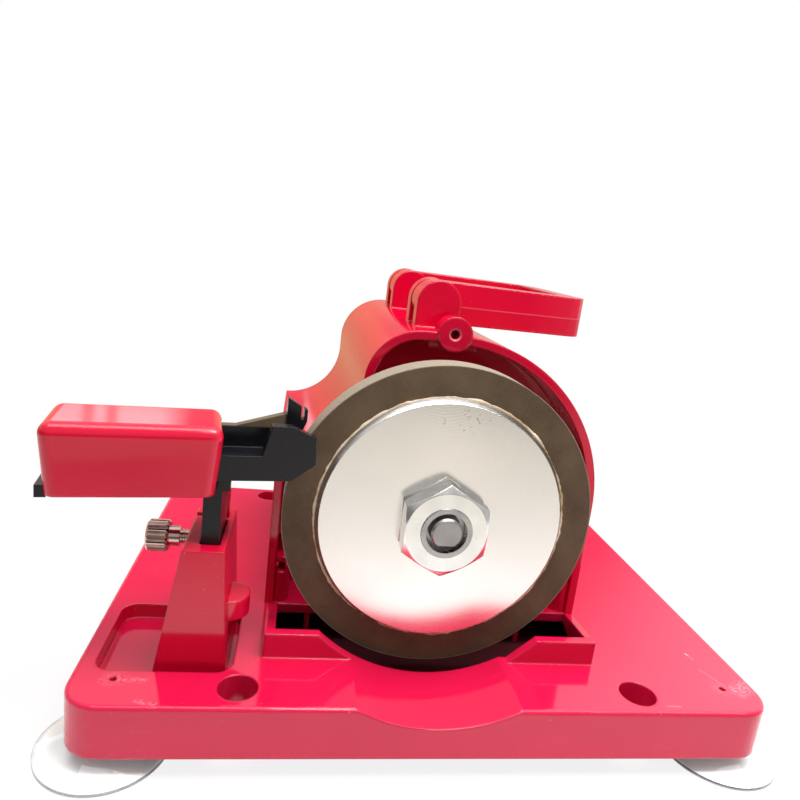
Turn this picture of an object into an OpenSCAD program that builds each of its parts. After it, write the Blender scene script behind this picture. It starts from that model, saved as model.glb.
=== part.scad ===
// Electric scissor sharpener: a flat abrasive wheel on a motor in a moulded cowl,
// a height-adjustable tool arm beside it and a base on four suction cups.
// Millimetres, +Z up, the operator in front at -Y, the table at z = 0.

/* [Base] */
// Width of the base
base_w = 213; // [206:1:222]
// Depth of the base
base_d = 166; // [162:1:180]
// Height of the base moulding
base_h = 16; // [14:0.5:20]
// Corner radius of the base in plan
base_corner_r = 11; // [8:0.5:14]
// Rounding of the base's top edge
base_edge_r = 1.2; // [0.6:0.1:2]
// Thickness of the base's side walls
base_wall = 3; // [2.5:0.1:4]
// Thickness of the base's top plate
base_top_t = 3.5; // [3:0.1:4.5]
// Thickness of the bottom cover
bottom_cover_t = 2; // [1.5:0.1:3]
// Bolt-down hole spacing across the base
bolt_span_x = 123; // [116:1:128]
// Bolt-down hole spacing front to back
bolt_span_y = 148; // [146:1:152]
// Sideways place of the bolt pattern
bolt_shift_x = 1.6; // [0:0.1:2]
// Diameter of the bolt-down holes
bolt_hole_d = 11.5; // [8:0.5:11.5]
// Wall of the tube around each bolt-down hole
bolt_tube_wall = 2; // [1.5:0.1:2.5]

/* [Suction cups] */
// Cup spacing across the base
cup_span_x = 192.8; // [188:0.2:194]
// Cup spacing front to back
cup_span_y = 142; // [138:1:144]
// Diameter of a cup's rim
cup_d = 37; // [34:1:42]
// Height of a cup below the base
cup_h = 6; // [5:0.5:8]
// Diameter of a cup's neck
cup_neck_d = 7; // [6:0.5:8]
// Length of the neck inside its socket
cup_neck_len = 8; // [6:0.5:9]
// Vent hole spacing across the base
vent_span_x = 189; // [187:0.5:193]
// Diameter of the vent hole above each cup
vent_hole_d = 2; // [1.5:0.1:3]

/* [Wheel well] */
// Width of the well's lip wall, outside
well_w = 108; // [106:1:112]
// Thickness of the lip wall
well_wall = 3.2; // [2.5:0.1:4]
// Height of the lip wall above the base
well_h = 8; // [6:0.5:10]
// Distance from the wheel's front face to the lip's outer front face
well_front = 8.6; // [7:0.2:10]
// Half width of the cut-away at the top of the lip's front wall
well_notch_half = 34; // [30:1:40]
// Clearance of the front scoop around the wheel's rim
scoop_gap = 1; // [0.6:0.1:1.5]
// Wall under the front scoop
scoop_wall = 2.5; // [2:0.1:3]

/* [Wheel] */
// Diameter of the abrasive wheel
wheel_d = 100; // [90:1:102]
// Thickness of the abrasive ring
ring_t = 10; // [8:0.5:12]
// Width of the abrasive band
band_w = 10; // [8:0.5:14]
// Distance that the aluminium disc stands proud of the ring
disc_proud = 2.3; // [1.5:0.1:3]
// Height of the wheel's axis above the base's top
axis_above_base = 44.75; // [44:0.25:47]
// Sideways place of the wheel's axis
axis_x = -2; // [-3:0.5:0]
// Distance from the base's front edge to the wheel's front face
wheel_setback = 32; // [31:0.5:33]
// Diameter of the threaded arbor
arbor_d = 16; // [14:0.5:18]
// Diameter of the arbor's flange behind the wheel
flange_d = 36; // [32:1:44]
// Thickness of the arbor's flange
flange_t = 4; // [3:0.5:5]
// Nut size across the flats
nut_af = 26; // [24:0.5:28]
// Thickness of the nut
nut_t = 7.7; // [6:0.1:9]

/* [Motor] */
// Diameter of the motor shaft
shaft_d = 10; // [8:0.5:10]
// Depth of the flat on the shaft's tip
shaft_flat = 1.3; // [0.8:0.1:1.8]
// Diameter of the motor can
can_d = 66; // [60:1:70]
// Length of the motor can
can_len = 50; // [48:1:52]
// Wall of the motor can
can_wall = 2.5; // [2:0.1:3]
// Thickness of the magnets
magnet_t = 6; // [5:0.5:7]
// Air gap between the rotor and the magnets
air_gap = 0.8; // [0.5:0.1:1.2]
// Length of the rotor stack
rotor_len = 27; // [22:1:28]
// Number of rotor slots
rotor_slots = 7; // [5:1:9]
// Outer diameter of both bearings
bearing_od = 26; // [24:1:28]
// Width of both bearings
bearing_w = 8; // [7:0.5:9]
// Diameter of the commutator
commutator_d = 22; // [18:1:24]
// Diameter of the cooling fan
fan_d = 58; // [50:1:62]
// Number of fan blades
fan_blades = 8; // [6:1:10]

/* [Motor housing] */
// Left wall of the housing, from the centre line
housing_left = 55.5; // [55:0.5:57]
// Right wall of the housing, from the centre line
housing_right = 60; // [58:0.5:61]
// Wall thickness of the housing
housing_wall = 3; // [2.5:0.1:3.5]
// Length of the housing shell
housing_len = 94; // [92:1:95]
// Distance from the wheel's back face to the housing's front rim
housing_gap = 13; // [12:0.5:14]
// Height of the flank's ledge above the base, at the front
ledge_h = 53.8; // [52:0.2:56]
// Width of the flank's flat ledge, at the front
ledge_w = 3.3; // [2.5:0.1:4]
// Radius of the flank's concave sweep
flank_r = 23.5; // [22:0.5:25]
// Radius of the rounded shoulder on the left of the deck
shoulder_r = 18.7; // [16:0.1:20]
// Angle by which the left half of the housing widens towards the rear
housing_widen = 2; // [1:0.1:2.5]
// Angle by which the left half of the housing rises towards the rear
housing_climb = 1.3; // [0.5:0.1:1.5]
// Height of the arch's centre above the base
arch_rise = 42.8; // [41:0.2:44]
// Thickness of the bulkhead that carries the motor
bulkhead_t = 3; // [2.5:0.1:4]
// Depth of the open space in front of the bulkhead
bulkhead_depth = 18; // [17:0.5:20]
// Thickness of the rear cover
rear_cover_t = 3; // [2.5:0.1:3.4]

/* [Carrying handle] */
// Thickness of each hinge ear
ear_t = 5; // [4.2:0.1:5.6]
// Width of a hinge ear
ear_w = 15.6; // [14.4:0.2:16]
// Thickness of the handle's arms
handle_t = 7; // [6:0.2:8]
// Height of the handle's bars
handle_bar_h = 15; // [14:0.2:15.4]
// Reach of the handle from its hinge
handle_reach = 57.3; // [54:0.1:60]
// Thickness of the grip bar
grip_t = 8; // [7:0.5:10]
// Distance between the front faces of the two hinges
hinge_span = 53.5; // [50:0.5:56]
// Diameter of the hinge pins
hinge_pin_d = 4; // [3:0.2:5]

/* [Tool post] */
// Width of the post at its top
post_top_w = 12; // [11.6:0.1:13]
// Depth of the post
post_d = 32; // [30:0.5:33]
// Height of the post above the pocket's floor
post_h = 42; // [40:0.5:45]
// Spread of the post's left side from top to foot
post_spread_left = 7; // [5:0.2:8]
// Spread of the post's right side from top to foot
post_spread_right = 2.6; // [2:0.2:3]
// Depth of the pocket in the base
pocket_depth = 5; // [4.5:0.1:5.5]
// Width of the pocket
pocket_w = 39; // [38:0.5:39.5]
// Depth of the pocket front to back
pocket_d = 36; // [34.6:0.2:36.5]

/* [Tool arm] */
// Width of the arm's stem
stem_w = 5.2; // [4.6:0.1:5.6]
// Depth of the arm's stem
stem_d = 18; // [17:0.5:19]
// Height of the arm's rail above the post's top
arm_lift = 16; // [15:0.5:18]
// Angle of the arm to the base's front edge
arm_yaw = 9; // [7:0.5:10]
// Depth of the arm's bar
bar_d = 12; // [11:0.2:12.6]
// Height of the arm's bar
bar_h = 7.4; // [6.5:0.1:8]
// Height of the rail under the bar
rail_h = 4.4; // [4:0.1:5]
// Length of the sliding box
box_len = 46.2; // [44:0.2:48]
// Depth of the sliding box
box_d = 24.3; // [22:0.1:26]
// Height of the sliding box
box_h = 20.2; // [19:0.1:21]
// Wall of the sliding box
box_wall = 2; // [1.6:0.1:2.2]
// Rounding of the sliding box's edges
box_edge_r = 3.3; // [2:0.1:4]
// Taper of the sliding box from its top to its open bottom
box_taper = 1.3; // [0.8:0.1:1.4]
// Diameter of the thumb screw's knurled head
thumb_head_d = 9.8; // [9:0.2:12]
// Diameter of the thumb screw's thread
thumb_thread_d = 4; // [3:0.2:5]

/* [Rear controls] */
// Width of the switch's frame
switch_w = 21; // [18:0.5:22]
// Height of the switch's frame
switch_h = 15; // [13:0.5:16]
// Width of the power inlet
inlet_w = 22; // [20:0.5:24]
// Height of the power inlet
inlet_h = 14; // [13:0.5:15]

/* [Hidden] */
$fn = 48;
// Small overlap that makes cuts pass cleanly through a face
eps = 0.05;
// Clearances: touching pieces of one body, running fits and sliding fits
seat_gap = 0.02;
run_gap = 0.05;
slide_gap = 0.3;

// Heights
base_z0 = cup_h;
base_z1 = base_z0 + base_h;
plate_z = base_z1 - base_top_t;
axis_z = base_z1 + axis_above_base;
pocket_z = base_z1 - pocket_depth;

// Outside of the socket that each cup's neck plugs into
cup_socket_wall = 3.9;
cup_socket_r = cup_neck_d / 2 + cup_socket_wall;

// Places along Y of the wheel stack and of the housing
ring_y0 = -base_d / 2 + wheel_setback;
ring_y1 = ring_y0 + ring_t;
disc_y0 = ring_y0 - disc_proud;
nut_y0 = disc_y0 - nut_t;
arbor_tip_y = nut_y0 - 0.3;
shaft_tip_y = nut_y0 - 1;
lip_y0 = ring_y0 - well_front;
housing_y0 = ring_y1 + housing_gap;
housing_y1 = housing_y0 + housing_len;
bulkhead_y0 = housing_y0 + bulkhead_depth;
can_y0 = bulkhead_y0 + bulkhead_t;
// Lengths behind the motor can: its end cap, the fan and the air in front of and behind the fan
rear_cap_t = 10;
fan_w = 8;
fan_gap = 1;
can_room = housing_y1 - can_y0 - rear_cap_t - fan_w - 3 * fan_gap;
can_y1 = can_y0 + min(can_len, can_room);

// Housing profile
ledge_z = base_z1 + ledge_h;
sweep_x = -housing_left + ledge_w;
flank_x = sweep_x + flank_r;
flank_z = ledge_z + flank_r;
arch_r = 58.5;
arch_x = housing_right - arch_r;
arch_z = base_z1 + arch_rise;
deck_z = arch_z + arch_r;
deck_crown = 0.4;
shoulder_x = flank_x + shoulder_r;
shoulder_z = deck_z + deck_crown - shoulder_r;
rear_climb = housing_len * tan(housing_climb);

// Handle hinge
hinge_x = -4.3;
hinge_z = deck_z + 9.2;
hinge_y0 = housing_y0 + 11;
side_gap = 0.4;
hinge_depth = 2 * ear_t + 2 * side_gap + handle_t;
handle_y0 = hinge_y0 + ear_t + side_gap;
handle_eye_r = ear_w / 2 - 0.2;
handle_bar_z0 = hinge_z - 7.5;
pin_seat = ear_t - 1;

// Tool post and arm
pocket_x1 = -62.5;
pocket_x0 = pocket_x1 - pocket_w;
pocket_y0 = -base_d / 2 + 15.6;
pocket_y1 = pocket_y0 + pocket_d;
post_right_x = pocket_x1 - 4.3;
post_left_x = post_right_x - post_top_w;
post_y0 = pocket_y0 + 2.4;
post_y1 = post_y0 + post_d;
post_z1 = pocket_z + post_h;
post_wall = 2;
stem_x = post_right_x - 4.8;
stem_y0 = post_y0 + 4.9;
stem_y1 = stem_y0 + stem_d;
arm_pivot_y = stem_y0 + 6;
rail_z0 = post_z1 + arm_lift;
bar_z0 = rail_z0 + rail_h;
bar_z1 = bar_z0 + bar_h;
bar_v0 = -8;
bar_v1 = bar_v0 + bar_d;
box_u1 = 1;
box_u0 = box_u1 - box_len;
box_v0 = bar_v0 - box_wall - 2;
box_v1 = box_v0 + box_d;
box_z0 = rail_z0 + 0.4;
box_z1 = box_z0 + box_h;
rail_u0 = box_u0 - 0.9;
stop_v0 = box_v0 + box_taper + box_wall + slide_gap;
stop_h = 3.4;
stop_z0 = rail_z0 - 0.5;
thumb_y = stem_y1 - 5;
thumb_z = post_z1 - 4;

// Screws: shank and head sizes shared by every self-tapping screw
screw_d = 3;
screw_head_d = 6;
screw_head_h = 2;

// Places of repeated features
bolt_points = [for (sx = [-1, 1], sy = [-1, 1]) [bolt_shift_x + sx * bolt_span_x / 2, sy * bolt_span_y / 2]];
cup_points = [for (sx = [-1, 1], sy = [-1, 1]) [sx * cup_span_x / 2, sy * cup_span_y / 2]];
vent_points = [for (sx = [-1, 1], sy = [-1, 1]) [sx * vent_span_x / 2, sy * cup_span_y / 2]];
boss_inset = 4.5;
bolt_tube_r = bolt_hole_d / 2 + bolt_tube_wall;
rear_boss_y = min(housing_y1 - boss_inset, bolt_span_y / 2 - bolt_tube_r - screw_head_d / 2 - slide_gap);
housing_boss_points = [for (x = [-housing_left + boss_inset, housing_right - boss_inset],
                            y = [housing_y0 + boss_inset, rear_boss_y]) [x, y]];
cover_post_points = [for (x = [-80, 80], y = [-10, 70]) [x, y]];
post_screw_points = [for (y = [post_y0 + 6, post_y1 - 6]) [(post_left_x + post_right_x) / 2 - 2, y]];
rear_boss_in = housing_wall + 2.5;
rear_boss_points = [[-housing_left + rear_boss_in, base_z1 + 30], [housing_right - rear_boss_in, base_z1 + 30],
                    [shoulder_x + 3, deck_z + deck_crown + rear_climb - rear_boss_in],
                    [arch_x + (arch_r - rear_boss_in) * cos(45), arch_z + (arch_r - rear_boss_in) * sin(45)]];
motor_screw_r = 24;

// Draws a flat shape given in X and Z as a slab from y0 to y1
module slab_y(y0, y1) {
    translate([0, y1, 0]) rotate([90, 0, 0]) linear_extrude(y1 - y0) children();
}

// Round bar along Y at a place in X and Z
module rod_y(x, z, y0, y1, r) {
    translate([x, y0, z]) rotate([-90, 0, 0]) cylinder(r = r, h = y1 - y0);
}

// Ring along Y on the wheel's axis
module ring_y(y0, y1, outer_r, inner_r) {
    difference() {
        rod_y(axis_x, axis_z, y0, y1, outer_r);
        rod_y(axis_x, axis_z, y0 - 1, y1 + 1, inner_r);
    }
}

// Flat rectangle with rounded corners
module round_rect(x0, x1, y0, y1, r) {
    translate([x0 + r, y0]) square([x1 - x0 - 2 * r, y1 - y0]);
    translate([x0, y0 + r]) square([x1 - x0, y1 - y0 - 2 * r]);
    for (x = [x0 + r, x1 - r], y = [y0 + r, y1 - r]) translate([x, y]) circle(r);
}

// Pan-head screw standing on its head, shank up, with a cross recess
module screw(len) {
    edge = 0.7;
    recess_w = 0.9;
    recess_len = 3.2;
    recess_h = 1.1;
    difference() {
        union() {
            cylinder(d1 = screw_head_d - 2 * edge, d2 = screw_head_d, h = edge);
            translate([0, 0, edge]) cylinder(d = screw_head_d, h = screw_head_h - edge);
            cylinder(d = screw_d, h = screw_head_h + len);
        }
        for (a = [0, 90]) rotate([0, 0, a]) translate([-recess_len / 2, -recess_w / 2, -1])
            cube([recess_len, recess_w, recess_h + 1]);
    }
}

// Base

// Outside of the base with a rounded top edge
module base_outer() {
    hull() for (sx = [-1, 1], sy = [-1, 1])
        translate([sx * (base_w / 2 - base_corner_r), sy * (base_d / 2 - base_corner_r), base_z0]) {
            cylinder(r = base_corner_r, h = base_h - base_edge_r, $fn = 40);
            translate([0, 0, base_h - base_edge_r]) rotate_extrude($fn = 40)
                translate([base_corner_r - base_edge_r, 0]) circle(base_edge_r, $fn = 20);
        }
}

module base_plan(inset) {
    round_rect(-base_w / 2 + inset, base_w / 2 - inset, -base_d / 2 + inset, base_d / 2 - inset,
               base_corner_r - inset);
}

// Plan of the well from y0 to y1; its right side runs out to the housing's right wall
module well_plan(inset, y0, y1) {
    spread = (housing_right - well_w / 2) / (housing_y0 - lip_y0);
    polygon([[-well_w / 2 + inset, y0], [well_w / 2 - inset + spread * (y0 - lip_y0), y0],
             [well_w / 2 - inset + spread * (y1 - lip_y0), y1], [-well_w / 2 + inset, y1]]);
}

// Lip wall around the wheel well: cut away in front of the wheel, its sides falling to the housing
module well_lip() {
    slope = 9;
    run_in = 2;
    fall = well_h / (housing_y0 - lip_y0 - well_wall);
    difference() {
        intersection() {
            translate([0, 0, base_z1 - 1]) linear_extrude(well_h + 2)
                well_plan(0, lip_y0, housing_y0 + run_in - eps);
            translate([-base_w / 2, 0, 0]) rotate([90, 0, 90]) linear_extrude(base_w)
                polygon([[lip_y0 - 1, base_z1 - 2], [lip_y0 - 1, base_z1 + well_h],
                         [lip_y0 + well_wall, base_z1 + well_h],
                         [housing_y0 + run_in, base_z1 - fall * run_in],
                         [housing_y0 + run_in, base_z1 - 2]]);
        }
        slab_y(lip_y0 - 1, lip_y0 + well_wall + 1)
            polygon([[-well_notch_half, base_z1 + well_h + 1], [-well_notch_half, base_z1 + well_h],
                     [-well_notch_half + slope, base_z1], [well_notch_half - slope, base_z1],
                     [well_notch_half, base_z1 + well_h], [well_notch_half, base_z1 + well_h + 1]]);
    }
}

module well_opening() {
    translate([0, 0, base_z0 - 1]) linear_extrude(base_h + well_h + 2)
        well_plan(well_wall, lip_y0 + well_wall, housing_y0);
}

// Round trough in front of the well, on the wheel's own axis
module scoop(extra, y1) {
    rod_y(axis_x, axis_z, -base_d / 2 - 1, y1, wheel_d / 2 + scoop_gap + extra);
}

module pocket_shape(extra) {
    round_rect(pocket_x0 - extra, pocket_x1 + extra, pocket_y0 - extra, pocket_y1 + extra, 5 + extra);
}

module base_tray() {
    rib_t = 2;
    color("crimson") difference() {
        union() {
            difference() {
                base_outer();
                translate([0, 0, base_z0 - 1]) linear_extrude(base_h - base_top_t + 1) base_plan(base_wall);
            }
            well_lip();
            intersection() {
                scoop(scoop_wall, lip_y0 + well_wall + 1);
                translate([0, 0, base_z0 + bottom_cover_t + slide_gap])
                    linear_extrude(base_h - bottom_cover_t - base_top_t) base_plan(1);
            }
            translate([0, 0, pocket_z - base_top_t])
                linear_extrude(pocket_depth + base_top_t - 1) pocket_shape(2.2);
            for (p = bolt_points) translate([p.x, p.y, base_z0])
                cylinder(r = bolt_tube_r, h = base_h - 1);
            for (p = cup_points) translate([p.x, p.y, base_z0]) cylinder(r = cup_socket_r, h = base_h - 1);
            for (p = cover_post_points) translate([p.x, p.y, base_z0 + bottom_cover_t])
                cylinder(d = screw_d + 5, h = base_h - bottom_cover_t - 1);
            for (x = [-40, 0, 40]) translate([x - rib_t / 2, housing_y0 + 2, base_z0 + bottom_cover_t])
                cube([rib_t, base_d / 2 - base_wall / 2 - housing_y0 - 2, base_h - bottom_cover_t - 1]);
        }
        well_opening();
        scoop(0, lip_y0 + well_wall + eps);
        translate([0, 0, pocket_z]) linear_extrude(pocket_depth + 1) pocket_shape(0);
        for (p = bolt_points) translate([p.x, p.y, base_z0 - 1]) cylinder(d = bolt_hole_d, h = base_h + 2);
        for (p = cup_points) translate([p.x, p.y, base_z0 - 1])
            cylinder(r = cup_neck_d / 2 + seat_gap, h = cup_neck_len + 1.2);
        for (p = vent_points) translate([p.x, p.y, base_z0 + cup_neck_len - 1])
            cylinder(d = vent_hole_d, h = base_h);
        for (p = cover_post_points) translate([p.x, p.y, base_z0 - 1])
            cylinder(d = screw_d + 2 * seat_gap, h = bottom_cover_t + 9);
        for (p = housing_boss_points) translate([p.x, p.y, base_z0 + 1])
            cylinder(d = screw_d + 2 * slide_gap, h = base_h + 1);
        for (p = post_screw_points) translate([p.x, p.y, base_z0 + 1])
            cylinder(d = screw_d + 2 * slide_gap, h = base_h + 1);
    }
}

module bottom_cover() {
    gap = 0.2;
    color([0.1, 0.1, 0.1]) difference() {
        translate([0, 0, base_z0]) linear_extrude(bottom_cover_t) base_plan(base_wall + gap);
        for (p = bolt_points) translate([p.x, p.y, base_z0 - 1])
            cylinder(r = bolt_tube_r + gap, h = bottom_cover_t + 2);
        for (p = cup_points) translate([p.x, p.y, base_z0 - 1])
            cylinder(r = cup_socket_r + gap, h = bottom_cover_t + 2);
        for (p = cover_post_points) translate([p.x, p.y, base_z0 - 1])
            cylinder(d = screw_d + 2 * slide_gap, h = bottom_cover_t + 2);
    }
}

module bottom_cover_screws() {
    color("silver") for (p = cover_post_points)
        translate([p.x, p.y, base_z0 - screw_head_h]) screw(bottom_cover_t + 7);
}

module suction_cups() {
    rim_t = 0.9;
    dome_h = cup_h - 2;
    collar_r = cup_neck_d / 2 + 3;
    color("whitesmoke", 0.5) for (p = cup_points) translate([p.x, p.y, 0]) rotate_extrude()
        difference() {
            union() {
                polygon([[0, 0], [cup_d / 2, 0], [cup_d / 2, rim_t], [collar_r, cup_h],
                         [cup_neck_d / 2, cup_h], [cup_neck_d / 2, cup_h + cup_neck_len],
                         [0, cup_h + cup_neck_len]]);
            }
            polygon([[-1, -1], [cup_d / 2 - 1.2, -1], [cup_d / 2 - 1.2, 0], [collar_r, dome_h], [-1, dome_h]]);
        }
}

// Motor housing

// Turns the left half of the housing about its front rim
module drafted() {
    translate([0, housing_y0, base_z1]) rotate([housing_climb, 0, housing_widen])
        translate([0, -housing_y0, -base_z1]) children();
}

// Left half before it is cut square: shoulder, deck and concave flank over a ledge
module housing_left_half(t, y0, y1, z0) {
    lap = 1;
    fall_x = arch_x + 14;
    top = deck_z + deck_crown - t;
    difference() {
        union() {
            slab_y(y0, y1)
                polygon([[flank_x + t, z0], [flank_x + t, shoulder_z], [shoulder_x, shoulder_z],
                         [shoulder_x, top], [arch_x - 2, top], [fall_x, top - 5], [fall_x, z0]]);
            rod_y(shoulder_x, shoulder_z, y0, y1, shoulder_r - t);
            translate([-housing_left - housing_len, y0, z0])
                cube([housing_left + housing_len + flank_x + t + lap, y1 - y0, flank_z - z0]);
        }
        rod_y(sweep_x, flank_z, y0 - 1, y1 + 1, flank_r + t);
        translate([-housing_left - housing_len - 1, y0 - 1, ledge_z - t])
            cube([housing_left + housing_len + 1 + sweep_x, y1 - y0 + 2, 2 * flank_r]);
    }
}

// Form of the housing from y0 to y1, drawn in by the wall thickness t
module housing_form(t, y0, y1, z0) {
    arch = arch_r - t;
    left = -housing_left + t;
    lap = 1;
    run = 10;
    // arch on the right, on an upright wall
    intersection() {
        rod_y(arch_x, arch_z, y0, y1, arch);
        translate([arch_x, y0 - 1, arch_z - lap]) cube([arch_r + 1, y1 - y0 + 2, arch_r + 2]);
    }
    translate([arch_x - lap, y0, z0]) cube([arch + lap, y1 - y0, arch_z - z0]);
    // drafted left half, cut square at both ends and at the left wall
    intersection() {
        drafted() housing_left_half(t, y0 - run, y1 + run, z0 - run);
        translate([left, y0, z0]) cube([arch_x + arch_r / 2 - left, y1 - y0, 2 * deck_z]);
    }
}

// Ear outline: an upright with a round top
module ear_shape() {
    translate([hinge_x, hinge_z]) circle(d = ear_w);
    translate([hinge_x - ear_w / 2, deck_z - 2]) square([ear_w, hinge_z - deck_z + 2]);
}

// Turns the hinge, its pins and the handle about the front hinge so that they follow the deck
module on_hinge() {
    translate([hinge_x, hinge_y0, hinge_z]) rotate([housing_climb, 0, housing_widen])
        translate([-hinge_x, -hinge_y0, -hinge_z]) children();
}

module hinge_ears(y0) {
    for (y = [y0, y0 + hinge_depth - ear_t]) slab_y(y, y + ear_t) ear_shape();
}

module motor_housing() {
    guard_boss_r = 6;
    guard_hole_r = 1.5;
    guard_rib_w = 16.6;
    guard_x = 0.1;
    guard_z = deck_z + 0.15;
    guard_y0 = housing_y0 - 0.6;
    low_boss_z = base_z1 + 13;
    color("crimson") difference() {
        union() {
            difference() {
                housing_form(0, housing_y0, housing_y1, base_z1);
                housing_form(housing_wall, housing_y0 - 1, housing_y1 + 1, base_z1 - 1);
            }
            housing_form(housing_wall - 1, bulkhead_y0, bulkhead_y0 + bulkhead_t, base_z1);
            // bosses for the screws that come up through the base
            for (p = housing_boss_points) translate([p.x, p.y, base_z1]) cylinder(d = screw_d + 4, h = 14);
            // bosses for the rear cover's screws
            for (p = rear_boss_points) rod_y(p.x, p.y, housing_y1 - 16, housing_y1, screw_d / 2 + 2);
            // boss on top of the front rim with a rib under it, and two low ones beside the wheel
            rod_y(guard_x, guard_z, guard_y0, housing_y0 + 7, guard_boss_r);
            translate([guard_x - guard_rib_w / 2, housing_y0 + 2, deck_z - 5.3]) cube([guard_rib_w, 5.5, 4]);
            for (x = [-housing_left + housing_wall + 2, housing_right - housing_wall - 2])
                rod_y(x, low_boss_z, housing_y0 + 3, bulkhead_y0 + 1, 3.6);
            // stiffening ribs in the open front
            for (z = [ledge_z - 30, ledge_z - 18])
                translate([-housing_left + housing_wall - 1, bulkhead_y0 - 12, z]) cube([5, 13, 1.6]);
            on_hinge() {
                hinge_ears(hinge_y0);
                hinge_ears(hinge_y0 + hinge_span);
            }
        }
        rod_y(axis_x, axis_z, bulkhead_y0 - 1, can_y0 + 1, bearing_od / 2 + 3 + 0.3);
        for (sx = [-1, 1])
            rod_y(axis_x + sx * motor_screw_r, axis_z, bulkhead_y0 - 1, can_y0 + 1, screw_d / 2 + slide_gap);
        for (p = housing_boss_points) translate([p.x, p.y, base_z1 - 1])
            cylinder(d = screw_d + 2 * seat_gap, h = 12);
        for (p = rear_boss_points) rod_y(p.x, p.y, housing_y1 - 14, housing_y1 + 1, screw_d / 2 + seat_gap);
        rod_y(guard_x, guard_z, guard_y0 - 1, housing_y0 + 6, guard_hole_r);
        translate([guard_x, guard_y0 - eps, guard_z]) rotate([-90, 0, 0])
            cylinder(r1 = guard_hole_r + 0.6, r2 = guard_hole_r - 0.1, h = 0.7);
        for (x = [-housing_left + housing_wall + 2, housing_right - housing_wall - 2])
            rod_y(x, low_boss_z, housing_y0 - 1, housing_y0 + 12, 1.5);
        on_hinge() for (y = [hinge_y0, hinge_y0 + hinge_span]) {
            // blind seats for the pins, and room for the handle between the ears
            rod_y(hinge_x, hinge_z, y + ear_t - pin_seat, y + hinge_depth - ear_t + pin_seat,
                  hinge_pin_d / 2 + seat_gap);
            rod_y(hinge_x, hinge_z, y + ear_t, y + hinge_depth - ear_t, handle_eye_r + slide_gap);
            translate([hinge_x, y + ear_t, handle_bar_z0 - slide_gap])
                cube([arch_x + 14 - hinge_x, hinge_depth - 2 * ear_t, handle_bar_h]);
        }
    }
}

module housing_screws() {
    color("silver") for (p = housing_boss_points)
        translate([p.x, p.y, plate_z - screw_head_h]) screw(base_top_t + 9);
}

// Places of the switch and of the inlet on the rear cover
switch_x = -28;
inlet_x = 30;
control_z = base_z1 + 12;
// Half of the rocker's throw, in degrees: it rests on one side
rocker_tilt = 8;

module rear_cover() {
    vent_w = 3;
    color("crimson") difference() {
        housing_form(0, housing_y1, housing_y1 + rear_cover_t, base_z1);
        for (p = rear_boss_points) rod_y(p.x, p.y, housing_y1 - 1, housing_y1 + rear_cover_t + 1,
                                         screw_d / 2 + slide_gap);
        // cooling slots behind the fan
        for (i = [-3:3]) translate([axis_x + i * 7 - vent_w / 2, housing_y1 - 1, axis_z + 2 - 4 * (3 - abs(i))])
            cube([vent_w, rear_cover_t + 2, 12 + 8 * (3 - abs(i))]);
        translate([switch_x - switch_w / 2 + 1, housing_y1 - 1, control_z - switch_h / 2 + 1])
            cube([switch_w - 2, rear_cover_t + 2, switch_h - 2]);
        translate([inlet_x - inlet_w / 2 + 1, housing_y1 - 1, control_z - inlet_h / 2 + 1])
            cube([inlet_w - 2, rear_cover_t + 2, inlet_h - 2]);
    }
}

module rear_cover_screws() {
    color("silver") for (p = rear_boss_points)
        translate([p.x, housing_y1 + rear_cover_t + screw_head_h, p.y]) rotate([90, 0, 0])
            screw(rear_cover_t + 10);
}

// Motor

can_r = can_d / 2;
inner_r = can_r - can_wall;
rotor_r = inner_r - magnet_t - air_gap - 0.1;
front_bearing_y = can_y0 - bearing_w - 1;
rear_bearing_y = can_y1 + rear_cap_t - bearing_w;
rotor_front = 8;
commutator_gap = 3;
commutator_len = 8;
cap_plug = 4;
commutator_sink = 2;
rotor_room = can_y1 - can_y0 - rotor_front - commutator_gap - commutator_len - cap_plug + commutator_sink;
rotor_y0 = can_y0 + rotor_front;
rotor_y1 = rotor_y0 + min(rotor_len, rotor_room);
commutator_y0 = rotor_y1 + commutator_gap;
fan_y0 = can_y1 + rear_cap_t + 2 * fan_gap;
shaft_end_y = fan_y0 + fan_w;

module motor_can() {
    hub_r = bearing_od / 2 + 3;
    color("silver") difference() {
        union() {
            rod_y(axis_x, axis_z, can_y0, can_y1, can_r);
            rod_y(axis_x, axis_z, can_y0 - bearing_w - 2, can_y0 + 1, hub_r);
        }
        rod_y(axis_x, axis_z, can_y0 + can_wall, can_y1 + 1, inner_r);
        rod_y(axis_x, axis_z, front_bearing_y, can_y0 + can_wall + 1, bearing_od / 2 + seat_gap);
        rod_y(axis_x, axis_z, can_y0 - bearing_w - 4, can_y1, shaft_d / 2 + 1.5);
        for (sx = [-1, 1])
            rod_y(axis_x + sx * motor_screw_r, axis_z, can_y0 - 1, can_y0 + can_wall + 1,
                  screw_d / 2 + seat_gap);
    }
}

module motor_magnets() {
    span = 65;
    color("dimgray") intersection() {
        ring_y(rotor_y0 - 2, rotor_y1 + 2, inner_r - seat_gap, inner_r - magnet_t);
        for (sz = [-1, 1]) slab_y(rotor_y0 - 3, rotor_y1 + 3)
            translate([axis_x, axis_z]) polygon([[0, 0], [-can_d * sin(span), sz * can_d * cos(span)],
                                                 [-can_d, sz * can_d], [can_d, sz * can_d],
                                                 [can_d * sin(span), sz * can_d * cos(span)]]);
    }
}

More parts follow.
